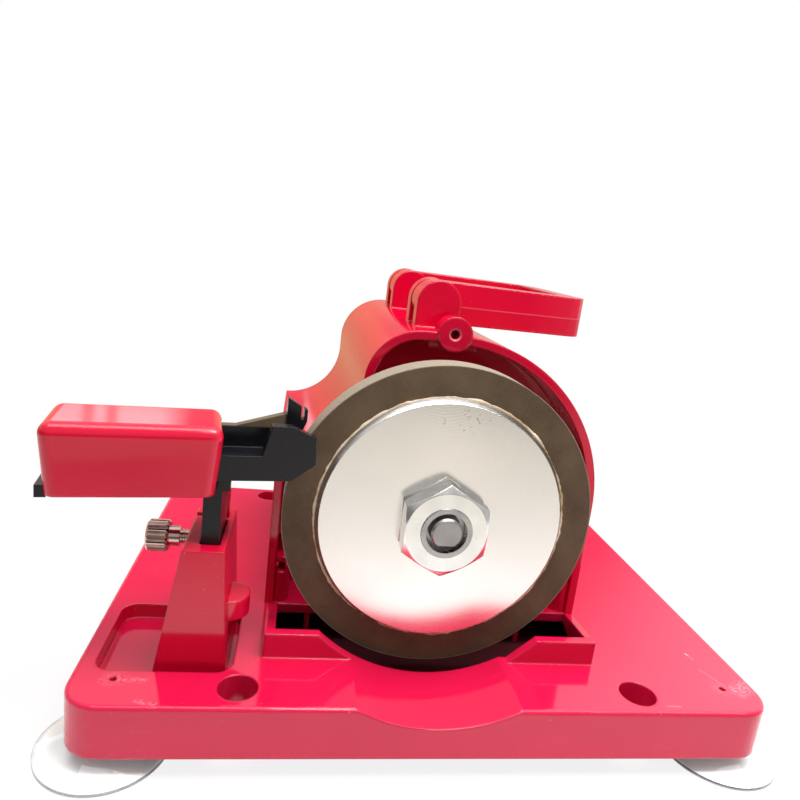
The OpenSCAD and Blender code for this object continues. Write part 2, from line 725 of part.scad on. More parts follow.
module motor_end_cap() {
    color("ivory") difference() {
        union() {
            rod_y(axis_x, axis_z, can_y1, can_y1 + 3, can_r);
            rod_y(axis_x, axis_z, can_y1 - cap_plug, can_y1 + 1, inner_r - seat_gap);
            rod_y(axis_x, axis_z, can_y1, can_y1 + rear_cap_t, bearing_od / 2 + 3);
            for (sx = [-1, 1]) translate([axis_x + sx * (inner_r - 8) - 7, commutator_y0, axis_z - 5])
                cube([14, can_y1 - commutator_y0, 10]);
        }
        rod_y(axis_x, axis_z, can_y1 - cap_plug - 1, can_y1 + rear_cap_t + 1, shaft_d / 2 + 1.5);
        rod_y(axis_x, axis_z, rear_bearing_y, can_y1 + rear_cap_t + 1, bearing_od / 2 + seat_gap);
        rod_y(axis_x, axis_z, commutator_y0 - 1, commutator_y0 + commutator_len + 1, commutator_d / 2 + 2);
        translate([axis_x - can_r, commutator_y0 + 1, axis_z - 3]) cube([can_d, 6, 6]);
        difference() {
            rod_y(axis_x, axis_z, commutator_y0 - 1, can_y1 - eps, can_d);
            rod_y(axis_x, axis_z, commutator_y0 - 2, can_y1 + 1, inner_r - seat_gap);
        }
    }
}

module motor_screws() {
    color("silver") for (sx = [-1, 1])
        translate([axis_x + sx * motor_screw_r, bulkhead_y0 - screw_head_h, axis_z]) rotate([-90, 0, 0])
            screw(bulkhead_t + can_wall + 0.5);
}

module carbon_brushes() {
    brush_len = 9;
    color("darkslategray") for (sx = [-1, 1])
        translate([axis_x + (sx > 0 ? commutator_d / 2 + 0.3 : -commutator_d / 2 - 0.3 - brush_len),
                   commutator_y0 + 1 + seat_gap, axis_z - 3 + seat_gap])
            cube([brush_len, 6 - 2 * seat_gap, 6 - 2 * seat_gap]);
}

// Sealed ball bearing with a groove between its rings
module bearing(y0) {
    groove_r = (bearing_od / 2 + shaft_d / 2) / 2;
    color("lightsteelblue") difference() {
        ring_y(y0, y0 + bearing_w - 1, bearing_od / 2, shaft_d / 2 + run_gap);
        for (y = [y0 - 1, y0 + bearing_w - 1.6]) difference() {
            rod_y(axis_x, axis_z, y, y + 1.6, groove_r + 2);
            rod_y(axis_x, axis_z, y - 1, y + 3, groove_r - 2);
        }
    }
}

module front_bearing() { bearing(front_bearing_y); }

module rear_bearing() { bearing(rear_bearing_y); }

module motor_shaft() {
    chamfer = 0.6;
    flat_len = 12;
    color("silver") difference() {
        union() {
            rod_y(axis_x, axis_z, shaft_tip_y + chamfer, shaft_end_y, shaft_d / 2);
            translate([axis_x, shaft_tip_y, axis_z]) rotate([-90, 0, 0])
                cylinder(r1 = shaft_d / 2 - chamfer, r2 = shaft_d / 2, h = chamfer + eps);
        }
        translate([axis_x - shaft_d, shaft_tip_y - 1, axis_z - shaft_d])
            cube([2 * shaft_d, flat_len + 1, shaft_d / 2 + shaft_flat]);
    }
}

module rotor_core() {
    slot_w = 3;
    slot_depth = rotor_r * 0.45;
    color("sienna") difference() {
        ring_y(rotor_y0, rotor_y1, rotor_r, shaft_d / 2 + seat_gap);
        for (i = [0:rotor_slots - 1])
            translate([axis_x, rotor_y0 - 1, axis_z]) rotate([0, i * 360 / rotor_slots, 0])
                translate([-slot_w / 2, 0, rotor_r - slot_depth])
                    cube([slot_w, rotor_y1 - rotor_y0 + 2, slot_depth + 1]);
    }
}

module commutator() {
    bars = 7;
    color("peru") difference() {
        ring_y(commutator_y0, commutator_y0 + commutator_len, commutator_d / 2, shaft_d / 2 + seat_gap);
        for (i = [0:bars - 1]) translate([axis_x, commutator_y0 - 1, axis_z]) rotate([0, i * 360 / bars, 0])
            translate([-0.4, 0, commutator_d / 2 - 1]) cube([0.8, commutator_len + 2, 2]);
    }
}

module cooling_fan() {
    hub_r = shaft_d / 2 + 4;
    blade_t = 1.6;
    color("gray") union() {
        ring_y(fan_y0, fan_y0 + fan_w, hub_r, shaft_d / 2 + seat_gap);
        ring_y(fan_y0, fan_y0 + 1.6, fan_d / 2, hub_r - 1);
        for (i = [0:fan_blades - 1])
            translate([axis_x, fan_y0 + 1, axis_z]) rotate([0, i * 360 / fan_blades, 0])
                translate([-blade_t / 2, 0, hub_r - 1.5]) cube([blade_t, fan_w - 1.6, fan_d / 2 - hub_r]);
    }
}

// Wheel

module wheel_arbor() {
    hub_r = arbor_d / 2 + 3;
    hub_len = 9;
    mouth_r = shaft_d / 2 + 1.4;
    color("slategray") difference() {
        union() {
            rod_y(axis_x, axis_z, arbor_tip_y, ring_y1 + 1, arbor_d / 2);
            rod_y(axis_x, axis_z, ring_y1, ring_y1 + flange_t, flange_d / 2);
            rod_y(axis_x, axis_z, ring_y1, ring_y1 + flange_t + hub_len, hub_r);
        }
        rod_y(axis_x, axis_z, arbor_tip_y - 1, ring_y1 + flange_t + hub_len + 1, shaft_d / 2 + seat_gap);
        rod_y(axis_x, axis_z, arbor_tip_y - 1, arbor_tip_y + 4, mouth_r);
        translate([axis_x, ring_y1 + flange_t + hub_len / 2, axis_z])
            cylinder(d = 4 + 2 * seat_gap, h = hub_r + 1);
    }
}

module arbor_set_screw() {
    len = arbor_d / 2 + 3 - shaft_d / 2 - 0.2;
    color("dimgray") translate([axis_x, ring_y1 + flange_t + 4.5, axis_z + shaft_d / 2 + 0.1]) difference() {
        cylinder(d = 4, h = len);
        translate([0, 0, len - 1.6]) cylinder(d = 2.3, h = 2, $fn = 6);
    }
}

module wheel_disc() {
    bevel = disc_proud - 0.3;
    disc_r = wheel_d / 2 - band_w - seat_gap;
    color("gainsboro") difference() {
        union() {
            rod_y(axis_x, axis_z, disc_y0 + bevel, ring_y1, disc_r);
            translate([axis_x, disc_y0, axis_z]) rotate([-90, 0, 0])
                cylinder(r1 = disc_r - 0.65 * bevel, r2 = disc_r, h = bevel);
        }
        rod_y(axis_x, axis_z, disc_y0 - 1, ring_y1 + 1, arbor_d / 2 + seat_gap);
    }
}

module abrasive_ring() {
    color("dimgray") ring_y(ring_y0, ring_y1, wheel_d / 2, wheel_d / 2 - band_w);
}

// Hexagon nut with its points up and down and both faces chamfered
module wheel_nut() {
    corner_r = nut_af / 2 / cos(30);
    cone = corner_r - nut_af / 2 * 0.97;
    color("silver") difference() {
        intersection() {
            translate([axis_x, nut_y0, axis_z]) rotate([-90, 0, 0]) rotate([0, 0, 90])
                cylinder(r = corner_r, h = nut_t, $fn = 6);
            translate([axis_x, nut_y0, axis_z]) rotate([-90, 0, 0]) rotate_extrude()
                polygon([[0, 0], [corner_r - cone, 0], [corner_r + 0.1, cone * 0.65],
                         [corner_r + 0.1, nut_t - cone * 0.65], [corner_r - cone, nut_t], [0, nut_t]]);
        }
        rod_y(axis_x, axis_z, nut_y0 - 1, nut_y0 + nut_t + 1, arbor_d / 2 + seat_gap);
    }
}

// Handle

module handle() {
    x1 = hinge_x + handle_reach;
    y1 = handle_y0 + hinge_span + handle_t;
    bar_z1 = handle_bar_z0 + handle_bar_h;
    end_drop = 0.9;
    edge_r = 1.5;
    front_corner_r = 6;
    rear_corner_r = 12;
    color("crimson") on_hinge() difference() {
        intersection() {
            slab_y(handle_y0, y1) {
                translate([hinge_x, hinge_z]) circle(handle_eye_r);
                polygon([[hinge_x, handle_bar_z0], [x1 - edge_r, handle_bar_z0],
                         [x1 - edge_r, handle_bar_z0 + edge_r], [x1, handle_bar_z0 + edge_r],
                         [x1, bar_z1 - end_drop], [hinge_x, bar_z1]]);
                translate([x1 - edge_r, handle_bar_z0 + edge_r]) circle(edge_r);
            }
            translate([0, 0, handle_bar_z0 - 1]) linear_extrude(handle_bar_h + 2) difference() {
                union() {
                    round_rect(hinge_x - 30, x1, handle_y0, y1 - rear_corner_r, front_corner_r);
                    round_rect(hinge_x - 30, x1, handle_y0 + hinge_span / 2, y1, rear_corner_r);
                }
                round_rect(hinge_x - 40, x1 - grip_t, handle_y0 + handle_t, y1 - handle_t, front_corner_r - 1);
            }
        }
        rod_y(hinge_x, hinge_z, handle_y0 - 1, y1 + 1, hinge_pin_d / 2 + run_gap);
    }
}

module handle_pins() {
    color("silver") on_hinge() for (y = [hinge_y0, hinge_y0 + hinge_span])
        rod_y(hinge_x, hinge_z, y + ear_t - pin_seat + 0.2, y + hinge_depth - ear_t + pin_seat - 0.2,
              hinge_pin_d / 2);
}

// Tool post

// Front outline of the post in X and Z
module post_shape() {
    polygon([[post_left_x - post_spread_left, pocket_z], [post_right_x + post_spread_right, pocket_z],
             [post_right_x, post_z1], [post_left_x, post_z1]]);
}

module tool_post() {
    back_rise = 13.4;
    back_t = 3;
    tab_x1 = post_right_x - 2.2;
    tab_w = 3.8;
    slot_w = stem_w + 2 * slide_gap;
    slot_z0 = pocket_z + 14;
    lug_r = 6.2;
    lug_z = pocket_z + 17.5;
    color("crimson") difference() {
        union() {
            slab_y(post_y0, post_y1) post_shape();
            // tab with a cut corner on the back wall
            slab_y(post_y1 - back_t, post_y1)
                polygon([[tab_x1 - tab_w, post_z1 - 1], [tab_x1 - tab_w, post_z1 + back_rise - 2],
                         [tab_x1 - tab_w + 1.6, post_z1 + back_rise], [tab_x1, post_z1 + back_rise - 1],
                         [tab_x1, post_z1 - 1]]);
            translate([post_right_x + post_spread_right / 2, arm_pivot_y, lug_z])
                cylinder(r = lug_r, h = lug_r);
        }
        // slot for the stem and the hollow behind it
        translate([stem_x - slot_w / 2, stem_y0 - slide_gap, slot_z0])
            cube([slot_w, stem_d + 2 * slide_gap, post_h]);
        translate([stem_x - slot_w / 2, stem_y1 + post_wall, slot_z0])
            cube([slot_w, post_y1 - back_t - stem_y1 - post_wall, post_h]);
        // threaded hole for the thumb screw, and a notch behind it
        translate([post_left_x - post_spread_left, thumb_y, thumb_z]) rotate([0, 90, 0])
            cylinder(d = thumb_thread_d + 2 * run_gap, h = stem_x - post_left_x + post_spread_left);
        translate([post_left_x - post_spread_left, stem_y1 + post_wall, post_z1 - 4])
            cube([stem_x - post_left_x + post_spread_left, 3, 5]);
        for (p = post_screw_points) translate([p.x, p.y, pocket_z - 1])
            cylinder(d = screw_d + 2 * seat_gap, h = 11);
    }
}

module post_screws() {
    color("silver") for (p = post_screw_points)
        translate([p.x, p.y, pocket_z - base_top_t - screw_head_h]) screw(base_top_t + 8);
}

// Tool arm: u runs along the arm towards the wheel, v across it

module arm_frame() {
    translate([stem_x, arm_pivot_y, 0]) rotate([0, 0, arm_yaw]) children();
}

// Slab drawn in u and z, from v0 to v1
module arm_slab(v0, v1) {
    slab_y(v0, v1) children();
}

module tool_arm() {
    jaw_v1 = bar_v0 + 3.4;
    wall_t = 2.9;
    wall_v1 = min(bar_v1 + wall_t, box_v1 - box_taper - box_wall - slide_gap);
    wall_u0 = -8;
    wall_low = 13;
    bar_u0 = box_u0 + 12;
    stop_len = 2.8;
    bar_u1 = 19;
    stem_z0 = pocket_z + 18;
    neck_d = 8.2;
    color([0.08, 0.08, 0.09]) union() {
        // stem with a shorter neck that passes between the sliding box's lips
        translate([stem_x - stem_w / 2, stem_y0, stem_z0]) cube([stem_w, stem_d, rail_z0 - 0.6 - stem_z0]);
        translate([stem_x - stem_w / 2, stem_y0, rail_z0 - 2]) cube([stem_w, neck_d, rail_h + 4]);
        arm_frame() {
            translate([rail_u0, bar_v0 + 3, stop_z0]) cube([bar_u0 - rail_u0 + 1, bar_d - 5, stop_h]);
            translate([bar_u0, bar_v0 + 3, rail_z0]) cube([4 - bar_u0, bar_d - 5, rail_h + 1]);
            // wider stop at the rail's left end
            translate([rail_u0, stop_v0, stop_z0]) cube([stop_len, bar_v1 - 2 - stop_v0, stop_h]);
            difference() {
                translate([bar_u0, bar_v0, bar_z0]) cube([bar_u1 - bar_u0, bar_d, bar_h]);
                // shallow guide groove along the top
                translate([1, jaw_v1, bar_z1 - 1]) cube([bar_u1, bar_v1 - jaw_v1 + eps, 2]);
            }
            // back wall that rises from inside the box to the slotted rear jaw
            arm_slab(bar_v1 - eps, wall_v1) polygon([[wall_u0, bar_z0], [bar_u1 + 0.6, bar_z0],
                [24, bar_z0 + 10], [26, bar_z0 + 15], [26, bar_z0 + 18.6], [25, bar_z0 + 19],
                [25, bar_z0 + 15.6], [24, bar_z0 + 15.6], [24, bar_z0 + 19.6], [bar_u1 + 0.8, bar_z0 + 22.2],
                [bar_u1 + 0.8, bar_z0 + 17.2], [5, bar_z0 + wall_low], [wall_u0, bar_z0 + wall_low]]);
            // front jaw plate
            arm_slab(bar_v0, jaw_v1) polygon([[8, bar_z0], [bar_u1 + 1.6, bar_z0], [27.6, bar_z0 + 5.2],
                [27.2, bar_z0 + 12.9], [26, bar_z0 + 13.6], [bar_u1 + 1, bar_z0 + 16.4],
                [14.4, bar_z0 + 16.4], [12, bar_z0 + bar_h], [8, bar_z0 + bar_h]]);
        }
    }
}

module slide_box() {
    lip = 1;
    inner_z1 = box_z1 - box_wall;
    inner_u0 = box_u0 + box_taper + box_wall;
    inner_u1 = box_u1 - box_taper - box_wall;
    inner_v0 = box_v0 + box_taper + box_wall;
    inner_v1 = box_v1 - box_taper - box_wall;
    inner_z0 = bar_z0 - slide_gap;
    mouth_gap = 0.4;
    rib_short = 6;
    // way that the rail's stop needs inside the box when the box slides to the left
    stop_way = 15;
    color("crimson") arm_frame() difference() {
        union() {
            difference() {
                hull() for (u = [0, 1], v = [0, 1]) {
                    translate([u ? box_u1 - box_taper - box_edge_r : box_u0 + box_taper + box_edge_r,
                               v ? box_v1 - box_taper - box_edge_r : box_v0 + box_taper + box_edge_r, box_z0])
                        cylinder(r = box_edge_r, h = 1, $fn = 32);
                    translate([u ? box_u1 - box_edge_r : box_u0 + box_edge_r,
                               v ? box_v1 - box_edge_r : box_v0 + box_edge_r, box_z1 - box_edge_r])
                        sphere(box_edge_r, $fn = 32);
                }
                translate([inner_u0, inner_v0, box_z0 - 1])
                    cube([inner_u1 - inner_u0, inner_v1 - inner_v0, inner_z1 - box_z0 + 1]);
            }
            // lips that run under the bar, and a rib that rides on its top
            translate([inner_u0 + stop_way, inner_v0 - 1, box_z0])
                cube([inner_u1 - inner_u0 - stop_way, bar_v0 + lip - inner_v0 + 1, inner_z0 - box_z0]);
            translate([inner_u0 - 1, bar_v1 - lip, box_z0])
                cube([inner_u1 - inner_u0 + 1, inner_v1 - bar_v1 + lip + 1, inner_z0 - box_z0]);
            translate([inner_u0 - 1, (bar_v0 + bar_v1) / 2 - 1, bar_z1 + slide_gap])
                cube([inner_u1 - rib_short - inner_u0 + 1, 2, inner_z1 - bar_z1]);
        }
        // open mouth on the right, notch for the rail's stop on the left
        translate([inner_u1 - 1, inner_v0, box_z0 - 1])
            cube([box_wall + box_taper + 2, inner_v1 - inner_v0, inner_z1 - box_z0 + 1]);
        translate([box_u0 - 1, inner_v0, box_z0 - 1])
            cube([inner_u0 - box_u0 + 2, bar_v1 - 2 - inner_v0 + mouth_gap,
                  stop_z0 + stop_h + mouth_gap - box_z0 + 1]);
    }
}

module thumb_screw() {
    shoulder_d = thumb_head_d * 0.62;
    bevel = 0.7;
    shoulder_len = 3.2;
    head_len = 6.6;
    ridges = 20;
    tip_x = stem_x - stem_w / 2 - slide_gap;
    shoulder_x1 = post_left_x - 3.1;
    color("rosybrown") translate([shoulder_x1, thumb_y, thumb_z]) rotate([0, 90, 0]) {
        cylinder(d = thumb_thread_d, h = tip_x - shoulder_x1);
        translate([0, 0, -shoulder_len]) cylinder(d = shoulder_d, h = shoulder_len);
        translate([0, 0, -shoulder_len - head_len]) difference() {
            union() {
                cylinder(d1 = thumb_head_d - 2 * bevel, d2 = thumb_head_d, h = bevel);
                translate([0, 0, bevel]) cylinder(d = thumb_head_d, h = head_len - 2 * bevel);
                translate([0, 0, head_len - bevel])
                    cylinder(d1 = thumb_head_d, d2 = thumb_head_d - 2 * bevel, h = bevel);
            }
            for (i = [0:ridges - 1]) rotate([0, 0, i * 360 / ridges])
                translate([thumb_head_d / 2, 0, -1]) cylinder(d = 1, h = head_len + 2, $fn = 4);
        }
    }
}

// Rear controls

module switch_body() {
    y1 = housing_y1 + rear_cover_t;
    color([0.1, 0.1, 0.1]) difference() {
        union() {
            translate([switch_x - switch_w / 2, y1, control_z - switch_h / 2]) cube([switch_w, 2, switch_h]);
            translate([switch_x - switch_w / 2 + 1.2, y1 - 12, control_z - switch_h / 2 + 1.2])
                cube([switch_w - 2.4, 13, switch_h - 2.4]);
        }
        translate([switch_x - switch_w / 2 + 3, y1 - 7, control_z - switch_h / 2 + 2.5])
            cube([switch_w - 6, 10, switch_h - 5]);
    }
}

module switch_rocker() {
    y1 = housing_y1 + rear_cover_t + 1.2;
    half = (switch_w - 6) / 2 - 0.5;
    color([0.75, 0.05, 0.08])
        translate([switch_x, y1, control_z - switch_h / 2 + 2.9]) rotate([0, 0, -rocker_tilt])
            linear_extrude(switch_h - 5.8)
                polygon([[-half, -1.8], [half, -1.8], [half, 1.8], [0, 0.4], [-half, 1.8]]);
}

module power_inlet() {
    y1 = housing_y1 + rear_cover_t;
    color([0.1, 0.1, 0.1]) union() {
        difference() {
            union() {
                translate([inlet_x - inlet_w / 2, y1, control_z - inlet_h / 2]) cube([inlet_w, 2, inlet_h]);
                translate([inlet_x - inlet_w / 2 + 1.2, y1 - 14, control_z - inlet_h / 2 + 1.2])
                    cube([inlet_w - 2.4, 15, inlet_h - 2.4]);
            }
            translate([inlet_x - inlet_w / 2 + 2.6, y1 - 11, control_z - inlet_h / 2 + 2.6])
                cube([inlet_w - 5.2, 20, inlet_h - 5.2]);
        }
        for (sx = [-1, 1]) rod_y(inlet_x + sx * 4.5, control_z, y1 - 12, y1 - 1, 1.1);
    }
}

base_tray();
bottom_cover();
bottom_cover_screws();
suction_cups();
motor_housing();
housing_screws();
rear_cover();
rear_cover_screws();
motor_can();
motor_magnets();
motor_end_cap();
motor_screws();
carbon_brushes();
front_bearing();
rear_bearing();
motor_shaft();
rotor_core();
commutator();
cooling_fan();
wheel_arbor();
arbor_set_screw();
wheel_disc();
abrasive_ring();
wheel_nut();
handle();
handle_pins();
tool_post();
post_screws();
tool_arm();
slide_box();
thumb_screw();
switch_body();
switch_rocker();
power_inlet();
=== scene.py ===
import math

import bpy
from mathutils import Matrix, Vector, noise


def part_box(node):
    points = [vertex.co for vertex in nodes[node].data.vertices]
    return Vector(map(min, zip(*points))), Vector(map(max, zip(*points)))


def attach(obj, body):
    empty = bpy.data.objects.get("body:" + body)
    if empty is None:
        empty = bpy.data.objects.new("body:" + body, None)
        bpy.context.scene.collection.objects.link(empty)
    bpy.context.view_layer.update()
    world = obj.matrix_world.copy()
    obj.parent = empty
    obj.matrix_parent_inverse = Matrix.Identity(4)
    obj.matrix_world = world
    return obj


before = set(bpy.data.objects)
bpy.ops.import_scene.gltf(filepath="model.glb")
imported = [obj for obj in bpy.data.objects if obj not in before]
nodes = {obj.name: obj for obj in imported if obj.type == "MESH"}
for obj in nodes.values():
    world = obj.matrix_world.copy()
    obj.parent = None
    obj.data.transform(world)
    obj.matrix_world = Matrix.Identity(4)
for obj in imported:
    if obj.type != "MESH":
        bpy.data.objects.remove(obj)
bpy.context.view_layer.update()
scene = bpy.context.scene

# Places on the part, in metres

MM = 0.001
ring_low, ring_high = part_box("abrasive_ring")
disc_low, disc_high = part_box("wheel_disc")
cups_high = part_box("suction_cups")[1]
base_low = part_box("base_tray")[0]
thumb_low, thumb_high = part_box("thumb_screw")

WHEEL_AXIS = ((ring_low.x + ring_high.x) / 2, 0.0, (ring_low.z + ring_high.z) / 2)
WHEEL_R = (ring_high.x - ring_low.x) / 2
DISC_R = (disc_high.x - disc_low.x) / 2
CUP_R = 18.5 * MM
CUP_PLACE = (cups_high.x - CUP_R, cups_high.y - CUP_R, 0.0)
BASE_TOP = 22.0 * MM
VENT_PLACE = (94.5 * MM, 71.0 * MM, BASE_TOP)
GUARD_HOLE = (0.1 * MM, 0.0, 123.45 * MM)
GUARD_HOLE_R = 1.5 * MM
HANDLE_SEAM = (-17.0 * MM, 131.5 * MM)      # depth and height of a point on the handle's seam
HANDLE_CLIMB = math.tan(math.radians(1.3))
DRAFT_ABOVE = math.tan(math.radians(3.5))
DRAFT_BELOW = math.tan(math.radians(1.0))
BOX_SCRATCH = ((-103.0 * MM, -72.5 * MM, 90.6 * MM), (-102.4 * MM, -72.4 * MM, 88.6 * MM))
DISC_KNOCK = (WHEEL_AXIS[0] + 2.5 * MM, 0.0, WHEEL_AXIS[2] + 35.0 * MM)
ARM_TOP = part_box("tool_arm")[1].z
ARM_ORIGIN = (-71.6 * MM, -54.1 * MM, 0.0)
ARM_YAW = 9.0

# Shader helpers


class Graph:
    """Short names for building the nodes of one material or world."""

    def __init__(self, owner, output="ShaderNodeOutputMaterial"):
        owner.use_nodes = True
        self.owner = owner
        self.tree = owner.node_tree
        self.tree.nodes.clear()
        self.out = self.add(output)

    def add(self, kind, **settings):
        made = self.tree.nodes.new(kind)
        for key, value in settings.items():
            setattr(made, key, value)
        return made

    def join(self, source, target):
        self.tree.links.new(source, target)

    def feed(self, target, value):
        """Links a socket, or sets a plain number or colour."""
        if isinstance(value, bpy.types.NodeSocket):
            self.join(value, target)
        elif isinstance(value, tuple) and len(target.default_value) == 4:
            target.default_value = value + (1.0,)
        else:
            target.default_value = value

    def coords(self):
        return self.add("ShaderNodeTexCoord").outputs["Object"]

    def noise(self, scale, detail=2.0, rough=0.5, vector=None):
        made = self.add("ShaderNodeTexNoise")
        made.inputs["Scale"].default_value = scale
        made.inputs["Detail"].default_value = detail
        made.inputs["Roughness"].default_value = rough
        self.join(vector or self.coords(), made.inputs["Vector"])
        return made.outputs["Fac"]

    def span(self, value, low, high, start=0.3, stop=0.7):
        """Maps start to stop onto low to high, and clamps."""
        made = self.add("ShaderNodeMapRange")
        for socket, number in (("From Min", start), ("From Max", stop), ("To Min", low), ("To Max", high)):
            made.inputs[socket].default_value = number
        self.join(value, made.inputs["Value"])
        return made.outputs["Result"]

    def mix(self, factor, first, second):
        made = self.add("ShaderNodeMix", data_type="RGBA")
        for socket, value in (("Factor", factor), ("A", first), ("B", second)):
            self.feed([i for i in made.inputs if i.name == socket and i.enabled][0], value)
        return [o for o in made.outputs if o.enabled][0]

    def maths(self, operation, first, second=0.5):
        made = self.add("ShaderNodeMath", operation=operation)
        self.feed(made.inputs[0], first)
        self.feed(made.inputs[1], second)
        return made.outputs[0]

    def chain(self, operation, first, *rest):
        """Applies one operation to several values in turn."""
        for value in rest:
            first = self.maths(operation, first, value)
        return first

    def vector(self, operation, first, second=None):
        made = self.add("ShaderNodeVectorMath", operation=operation)
        self.feed(made.inputs[0], first)
        if second is not None:
            self.feed(made.inputs[1], second)
        return made.outputs["Value" if operation in ("LENGTH", "DOT_PRODUCT") else "Vector"]

    def distance(self, place, weights, folded=False):
        """Distance from a place, with each axis weighted; folded counts both sides of the part as one."""
        here = self.coords()
        if folded:
            here = self.vector("ABSOLUTE", here)
        offset = self.vector("SUBTRACT", here, place)
        return self.vector("LENGTH", self.vector("MULTIPLY", offset, weights))

    def segment(self, start, end):
        """Distance from the straight line between two places."""
        first = Vector(start)
        run = Vector(end) - first
        offset = self.vector("SUBTRACT", self.coords(), tuple(first))
        reach = self.vector("DOT_PRODUCT", offset, tuple(run))
        nearest = self.add("ShaderNodeVectorMath", operation="SCALE")
        nearest.inputs[0].default_value = run
        self.join(self.span(reach, 0.0, 1.0, 0.0, run.length_squared), nearest.inputs["Scale"])
        return self.vector("LENGTH", self.vector("SUBTRACT", offset, nearest.outputs["Vector"]))

    def axis(self, vector, name):
        split = self.add("ShaderNodeSeparateXYZ")
        self.join(vector, split.inputs[0])
        return split.outputs[name]

    def bump(self, height, strength, distance, under):
        """Normal raised by a height, on top of another normal where there is one."""
        made = self.add("ShaderNodeBump")
        made.inputs["Strength"].default_value = strength
        made.inputs["Distance"].default_value = distance
        self.join(height, made.inputs["Height"])
        if under is not None:
            self.join(under, made.inputs["Normal"])
        return made.outputs["Normal"]

    def normal(self, bevel=0.0, height=None, strength=0.1, distance=0.0001, form=None):
        """Rounded-edge normal with an optional bump on it; form is a true height in metres."""
        result = None
        if bevel:
            edge = self.add("ShaderNodeBevel", samples=6)
            edge.inputs["Radius"].default_value = bevel
            result = edge.outputs["Normal"]
        if form is not None:
            result = self.bump(form, 1.0, 1.0, result)
        if height is not None:
            result = self.bump(height, strength, distance, result)
        return result

    def surface(self, color, rough, normal=None, **uniform):
        made = self.add("ShaderNodeBsdfPrincipled")
        for socket, value in (("Base Color", color), ("Roughness", rough), ("Normal", normal)):
            if value is not None:
                self.feed(made.inputs[socket], value)
        for socket, value in uniform.items():
            made.inputs[socket.replace("_", " ")].default_value = value
        self.join(made.outputs["BSDF"], self.out.inputs["Surface"])
        return made

    def blend(self, factor, first, second):
        """Sends a mix of two shaders to the output."""
        made = self.add("ShaderNodeMixShader")
        self.join(factor, made.inputs[0])
        self.join(first.outputs[0], made.inputs[1])
        self.join(second.outputs[0], made.inputs[2])
        self.join(made.outputs[0], self.out.inputs["Surface"])


def material_graph(name):
    return Graph(bpy.data.materials.new(name))


# Materials

RED_DEEP = (0.59, 0.0015, 0.030)
RED_BRIGHT = (0.65, 0.0022, 0.036)
# Base shades carry more green and blue than the other reds: a painted sheen for the pinker look of its
# brightly lit top.
BASE_DEEP_PAINTED_SHEEN = (0.60, 0.005, 0.050)
BASE_BRIGHT_PAINTED_SHEEN = (0.66, 0.007, 0.058)
# Pale red of scuffs and dust, and of the painted highlight along the handle's seam.
RED_SCUFF_AND_HIGHLIGHT = (0.78, 0.20, 0.27)
AROUND_Y = (1.0, 0.0, 1.0)
AROUND_Z = (1.0, 1.0, 0.0)
RED_EDGE = 1.0 * MM     # radius to which the red mouldings' edges are softened


def red_plastic(name, wear_and_highlight=None, ridge=None, form=None, shades=(RED_DEEP, RED_BRIGHT)):
    """Glossy red moulding; wear_and_highlight masks scuffed places and painted highlights, ridge raised
    lines, and form gives a true draft.
    """
    g = material_graph(name)
    color = g.mix(g.span(g.noise(30.0, 3.0), 0.0, 1.0), *shades)
    rough = g.span(g.noise(60.0), 0.07, 0.12)
    dust = g.span(g.noise(900.0, 0.0), 0.0, 0.35, 0.86, 0.90)
    worn_and_highlight = dust if wear_and_highlight is None else g.maths("MAXIMUM", dust, wear_and_highlight(g))
    # Dust, wear and painted highlights turn the red pale.
    color = g.mix(worn_and_highlight, color, RED_SCUFF_AND_HIGHLIGHT)
    rough = g.maths("ADD", rough, g.maths("MULTIPLY", worn_and_highlight, 0.35))
    height = g.maths("MULTIPLY", g.noise(420.0, 2.0), 0.12)
    if ridge is not None:
        height = g.maths("ADD", height, ridge(g))
    tilt = None if form is None else form(g)
    g.surface(color, rough, g.normal(RED_EDGE, height, 0.12, form=tilt))
    return g.owner


def base_mark(g, start, end, amount, inner, outer):
    """Scratch on the base's top between two places in millimetres, fading from inner to outer."""
    ends = [(x * MM, y * MM, BASE_TOP) for x, y in (start, end)]
    return g.span(g.segment(*ends), amount, 0.0, inner * MM, outer * MM)


def base_scuffs(g):
    """Faint rings round the vents, rubbed patches and scratches on the top, scratches low on the front."""
    ring = g.span(g.distance(VENT_PLACE, AROUND_Z, folded=True), 0.25, 0.0, 2.2 * MM, 4.6 * MM)
    patch = base_mark(g, (99.5, -72.0), (104.0, -69.5), 0.85, 1.5, 4.0)
    left = base_mark(g, (-86.0, -80.3), (-81.0, -81.6), 0.6, 0.4, 1.4)
    streak = base_mark(g, (-94.5, -71.0), (-86.0, -71.5), 0.6, 0.4, 1.6)
    flecks = g.span(g.noise(1100.0, 3.0, 0.7), 0.0, 1.0, 0.44, 0.60)
    marks = g.maths("MULTIPLY", g.chain("MAXIMUM", ring, patch, left, streak), flecks)
    for mark in (((92.6, -61.0), (96.2, -69.3), 0.45, 0.1, 0.3),
                 ((92.9, -52.1), (93.1, -52.9), 0.9, 0.3, 0.7),
                 ((93.0, -53.0), (93.8, -55.4), 0.5, 0.1, 0.4),
                 ((70.0, -79.6), (74.5, -79.8), 0.4, 0.1, 0.5)):
        marks = g.maths("MAXIMUM", marks, base_mark(g, *mark))
    slanted = g.vector("MULTIPLY", g.coords(), (0.45, 1.0, 1.3))
    scratch = g.span(g.noise(240.0, 4.0, 0.75, slanted), 0.0, 0.16, 0.60, 0.74)
    front = g.span(g.axis(g.coords(), "Y"), 1.0, 0.0, base_low.y + 0.5 * MM, base_low.y + 1.5 * MM)
    ends = g.span(g.maths("ABSOLUTE", g.axis(g.coords(), "X")), 0.1, 1.0, 45.0 * MM, 85.0 * MM)
    return g.maths("MAXIMUM", marks, g.chain("MULTIPLY", scratch, front, ends))


